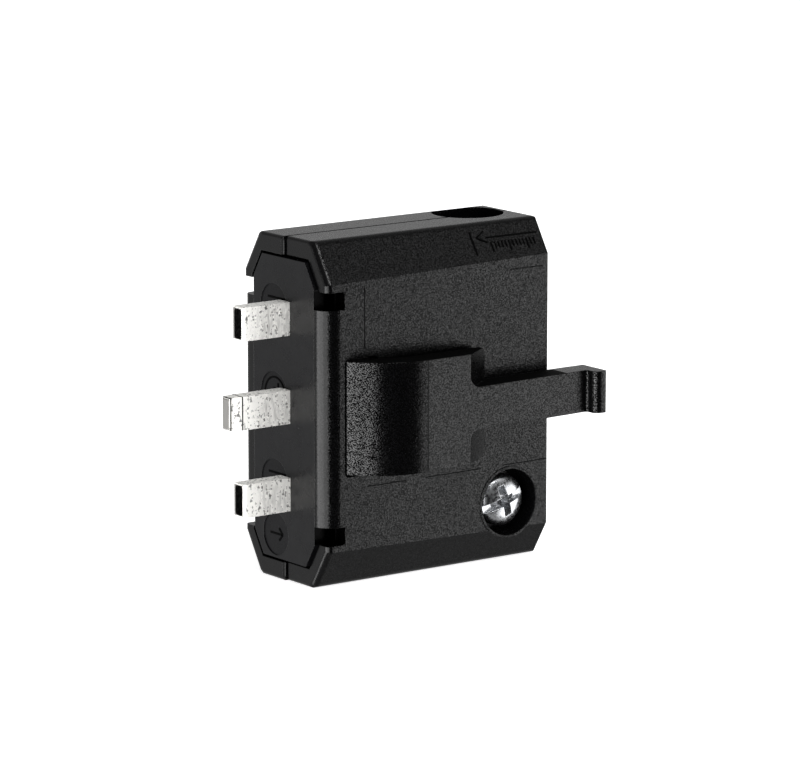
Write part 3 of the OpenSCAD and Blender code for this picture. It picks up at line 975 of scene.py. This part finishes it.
@dataclass
class HousingScrew:
    """Pan-head screw that closes the shells, with a cross recess and a slot."""

    node: str = "housing_screw"
    head_r: float = 3.0
    head_h: float = 2.1
    side_h: float = 1.0
    crown: tuple[Point, ...] = (
        (2.97, 1.14), (2.87, 1.32), (2.66, 1.51), (2.3, 1.7),
        (1.8, 1.87), (1.2, 2.0), (0.6, 2.08), (0.2, 2.1))
    steps: int = 96
    slot_half: float = 3.3
    slot_w: float = 1.0
    slot_depth: float = 0.85
    slot_taper: float = 0.94
    arm_half: float = 2.25
    arm_w: float = 1.15
    recess_depth: float = 1.5
    recess_taper: float = 0.62
    turn_deg: float = 18.0
    punch_out: float = 1.0
    shank_r: float = 1.49
    root_r: float = 1.22
    pitch: float = 0.5
    neck: float = 0.4
    thread_end: float = 0.3
    tip_gap: float = 0.02
    sharp_deg: float = 30.0

    def head(self) -> bpy.types.Object:
        """Model head and shank on Z, seated at Z 0, with the thread as rings below the seat.

        Returns:
            The closed blank, without recess or slot.
        """
        deselect_all()
        bpy.ops.mesh.primitive_cylinder_add(
            vertices=self.steps, radius=self.head_r * MM, depth=self.side_h * MM,
            location=(0, 0, self.side_h / 2 * MM))
        blank = settle(bpy.context.object)
        edit_faces(blank, is_top)
        self.rings((self.head_r, self.side_h), self.crown)
        low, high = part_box(self.node)
        length = (high[1] - low[1]) / MM - self.head_h
        thread = [(self.shank_r, 0.0), (self.shank_r, -self.neck)]
        while thread[-1][1] - self.pitch > self.thread_end - length:
            top = thread[-1][1]
            thread += [(self.root_r, top - self.pitch / 2), (self.shank_r, top - self.pitch)]
        thread.append((self.root_r, self.tip_gap - length))
        edit_faces(blank, is_bottom)
        self.rings((self.head_r, 0.0), thread)
        object_mode()
        return blank

    def rings(self, start: Point, rings: Sequence[Point]) -> None:
        """Extrude the selected end face ring by ring.

        Args:
            start: Radius and height of the face, in millimetres.
            rings: Radius and height of each further ring.
        """
        r, z = start
        for ring_r, ring_z in rings:
            bpy.ops.mesh.extrude_region_move(TRANSFORM_OT_translate={"value": (0, 0, (ring_z - z) * MM)})
            bpy.ops.transform.resize(value=(ring_r / r, ring_r / r, 1), center_override=(0, 0, ring_z * MM))
            r, z = ring_r, ring_z

    def punch(self, half: float, width: float, depth: float, turn: float, taper: float) -> bpy.types.Object:
        """Model the punch of one arm of the recess, or of the slot.

        Args:
            half: Half of its length, in millimetres.
            width: Its width.
            depth: How far it goes into the head.
            turn: Its direction in degrees.
            taper: Size of its lower end as a share of its upper end.

        Returns:
            The punch, standing out of the head.
        """
        deselect_all()
        bpy.ops.mesh.primitive_cube_add(
            size=1, location=(0, 0, (self.head_h + (self.punch_out - depth) / 2) * MM))
        punch = bpy.context.object
        punch.scale = (2 * half * MM, width * MM, (depth + self.punch_out) * MM)
        settle(punch)
        edit_faces(punch, is_bottom)
        bpy.ops.transform.resize(value=(taper, taper, 1), center_override=(0, 0, (self.head_h - depth) * MM))
        object_mode()
        return settle(punch, Matrix.Rotation(math.radians(turn), 4, "Z"))

    def build(self) -> bpy.types.Object:
        """Model the screw and put it in its counterbore.

        Returns:
            The screw, in the place of the CAD node.
        """
        screw = self.head()
        punches = [self.punch(self.slot_half, self.slot_w, self.slot_depth, self.turn_deg, self.slot_taper)]
        punches += [self.punch(self.arm_half, self.arm_w, self.recess_depth, turn, self.recess_taper)
                    for turn in (self.turn_deg, self.turn_deg + 90)]
        for punch in punches:
            pick(screw)
            cut = screw.modifiers.new("cut", "BOOLEAN")
            cut.operation, cut.solver, cut.object = "DIFFERENCE", "EXACT", punch
            bpy.ops.object.modifier_apply(modifier=cut.name)
            bpy.data.objects.remove(punch)
        low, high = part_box(self.node)
        seat = Vector(((low[0] + high[0]) / 2, low[1] + self.head_h * MM, (low[2] + high[2]) / 2))
        settle(screw, Matrix.Translation(seat) @ Matrix.Rotation(math.pi / 2, 4, "X"))
        screw.name = screw.data.name = "pan_head_screw"
        return screw

    def dress(self, steel: bpy.types.Material) -> None:
        """Model the screw and give it its finish.

        Args:
            steel: Finish of the screw.
        """
        screw = self.build()
        dress(screw, steel, self.sharp_deg)
        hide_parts(self.node)


@dataclass(frozen=True)
class Softbox:
    """One lamp of the studio, given by the directions that it fills as seen from the part."""

    name: str
    azimuth: Span
    elevation: Span
    radiance: float
    distance: float = 0.6
    # Watts that give one square metre of an area lamp a radiance of 1.
    watts: float = 4.0

    def build(self, target: Vector) -> None:
        """Place the lamp.

        Args:
            target: Point that the lamp looks at, in metres.
        """
        a, e = (math.radians(sum(span) / 2) for span in (self.azimuth, self.elevation))
        way = Vector((math.cos(e) * math.cos(a), math.cos(e) * math.sin(a), math.sin(e)))
        width, height = (2 * self.distance * math.tan(math.radians(abs(span[1] - span[0]) / 2))
                         for span in (self.azimuth, self.elevation))
        lamp = bpy.data.lights.new(self.name, "AREA")
        lamp.shape = "RECTANGLE"
        lamp.size, lamp.size_y = width * math.cos(e), height
        lamp.energy = self.watts * self.radiance * lamp.size * lamp.size_y
        holder = bpy.data.objects.new(self.name, lamp)
        bpy.context.scene.collection.objects.link(holder)
        holder.location = target + way * self.distance
        holder.rotation_euler = (-way).to_track_quat("-Z", "Y").to_euler()
        holder.visible_camera = False


@dataclass
class Studio:
    """White sweep behind the part, a dim ceiling, a dark room behind the camera, and softboxes."""

    target: Triple = (0.002, -0.002, 0.02)
    camera_at: Triple = (-0.31775, -0.43508, 0.1263)
    camera_turn: Triple = (78.897, 0.0, -36.153)
    lens: float = 218.4
    sensor: float = 36.0
    clip: Span = (0.01, 20.0)
    # Levels that reflections see, and the level that lights matt faces.
    ambient: float = 0.4
    room: float = 0.0
    sweep: Span = (0.82, 0.45)
    under: float = 0.52
    overhead: float = 0.4
    # Where these levels change, by the height of a direction or by how far it points to the sweep.
    back: Triple = (-0.174, 0.985, 0.0)
    back_facing: Span = (0.27, 0.65)
    sweep_rise: Span = (-0.05, 0.18)
    under_rise: Span = (-0.5, -0.75)
    overhead_rise: Span = (0.3, 0.65)
    # Floor, with the level that it shows to the camera near the part and away from it.
    floor_size: float = 6.0
    floor_drop: float = 0.00005
    paper: str = "#e2e2e2"
    fill: Span = (0.78, 0.9)
    fill_reach: Span = (0.03, 0.1)
    lamps: tuple[Softbox, ...] = (
        Softbox("left_key", (-204.0, -158.0), (-38.0, 3.0), 10.0),
        Softbox("left_fill", (-158.0, -130.0), (-26.0, 6.0), 6.9),
        Softbox("right_softbox", (-58.5, -16.0), (-38.0, 8.0), 3.35),
        Softbox("right_top_softbox", (-64.0, -20.0), (30.0, 48.0), 0.7),
        Softbox("front_top_softbox", (-115.0, -70.0), (42.0, 70.0), 9.0),
    )

    def camera(self) -> None:
        """Set up the camera at the photograph's viewing angle."""
        data = bpy.data.cameras.new("camera")
        data.lens = self.lens
        data.sensor_width = self.sensor
        data.sensor_fit = "HORIZONTAL"
        data.clip_start, data.clip_end = self.clip
        camera = bpy.data.objects.new("camera", data)
        bpy.context.scene.collection.objects.link(camera)
        camera.location = self.camera_at
        camera.rotation_euler = [math.radians(a) for a in self.camera_turn]
        bpy.context.scene.camera = camera

    def world(self) -> None:
        """Make the sweep white for the camera and in reflections, and the room behind the camera dark."""
        world = bpy.data.worlds.new("studio")
        bpy.context.scene.world = world
        world.use_nodes = True
        world.node_tree.nodes.clear()
        nodes = Nodes(world.node_tree)
        path = nodes.add("ShaderNodeLightPath").outputs
        way = nodes.add("ShaderNodeTexCoord").outputs["Generated"]
        rise = nodes.axes(way)["Z"]
        facing = nodes.add("ShaderNodeVectorMath", {0: way, 1: self.back}, operation="DOT_PRODUCT")
        behind = nodes.ramp(facing.outputs["Value"], self.back_facing, soft=True)
        level = nodes.mix(behind, self.room, nodes.ramp(rise, self.sweep_rise, self.sweep, soft=True))
        level = nodes.mix(nodes.ramp(rise, self.overhead_rise, soft=True), level, self.overhead)
        level = nodes.mix(nodes.ramp(rise, self.under_rise), level, self.under)
        mirrored = nodes.highest(path["Is Glossy Ray"], path["Is Transmission Ray"])
        level = nodes.mix(mirrored, self.ambient, level)
        level = nodes.mix(path["Is Camera Ray"], level, 1.0)
        sky = nodes.add("ShaderNodeBackground", {"Color": linear(WHITE), "Strength": level})
        nodes.surface(sky, "ShaderNodeOutputWorld")

    def floor(self) -> None:
        """Lay a white floor that shows to the camera and keeps a faint shadow by the part."""
        deselect_all()
        bpy.ops.mesh.primitive_plane_add(size=self.floor_size, location=(0, 0, -self.floor_drop))
        floor = bpy.context.object
        floor.name = "floor"
        material, nodes = new_material("white_paper_sweep")
        path = nodes.add("ShaderNodeLightPath").outputs
        away = nodes.add("ShaderNodeVectorMath", {0: nodes.place()}, operation="LENGTH").outputs["Value"]
        level = nodes.product(path["Is Camera Ray"], nodes.ramp(away, self.fill_reach, self.fill, soft=True))
        paper = nodes.add("ShaderNodeBsdfDiffuse", {"Color": linear(self.paper)})
        glow = nodes.add("ShaderNodeEmission", {"Color": linear(WHITE), "Strength": level})
        nodes.surface(nodes.add("ShaderNodeAddShader", {0: paper.outputs[0], 1: glow.outputs[0]}))
        floor.data.materials.append(material)
        floor.visible_glossy = False
        floor.visible_shadow = False

    def build(self) -> None:
        """Set up camera, world, floor and lamps."""
        bpy.context.scene.view_settings.view_transform = "Standard"
        self.camera()
        self.world()
        self.floor()
        for lamp in self.lamps:
            lamp.build(Vector(self.target))


def main() -> None:
    """Build the studio and dress each sub-assembly in order."""
    logging.basicConfig(level=logging.INFO, format="%(name)s: %(message)s")
    Studio().build()
    grained, satin, matt = GrainedPolyamide().build(), SatinPolyamide().build(), MattPolyamide().build()
    tin, brass, steel = TinPlate().build(), DrawnBrass().build(), PlatedSteel().build()
    Shells().dress(grained, matt)
    Carrier().dress(satin, matt, tin, brass, steel)
    HousingScrew().dress(steel)


if __name__ == "__main__":
    main()
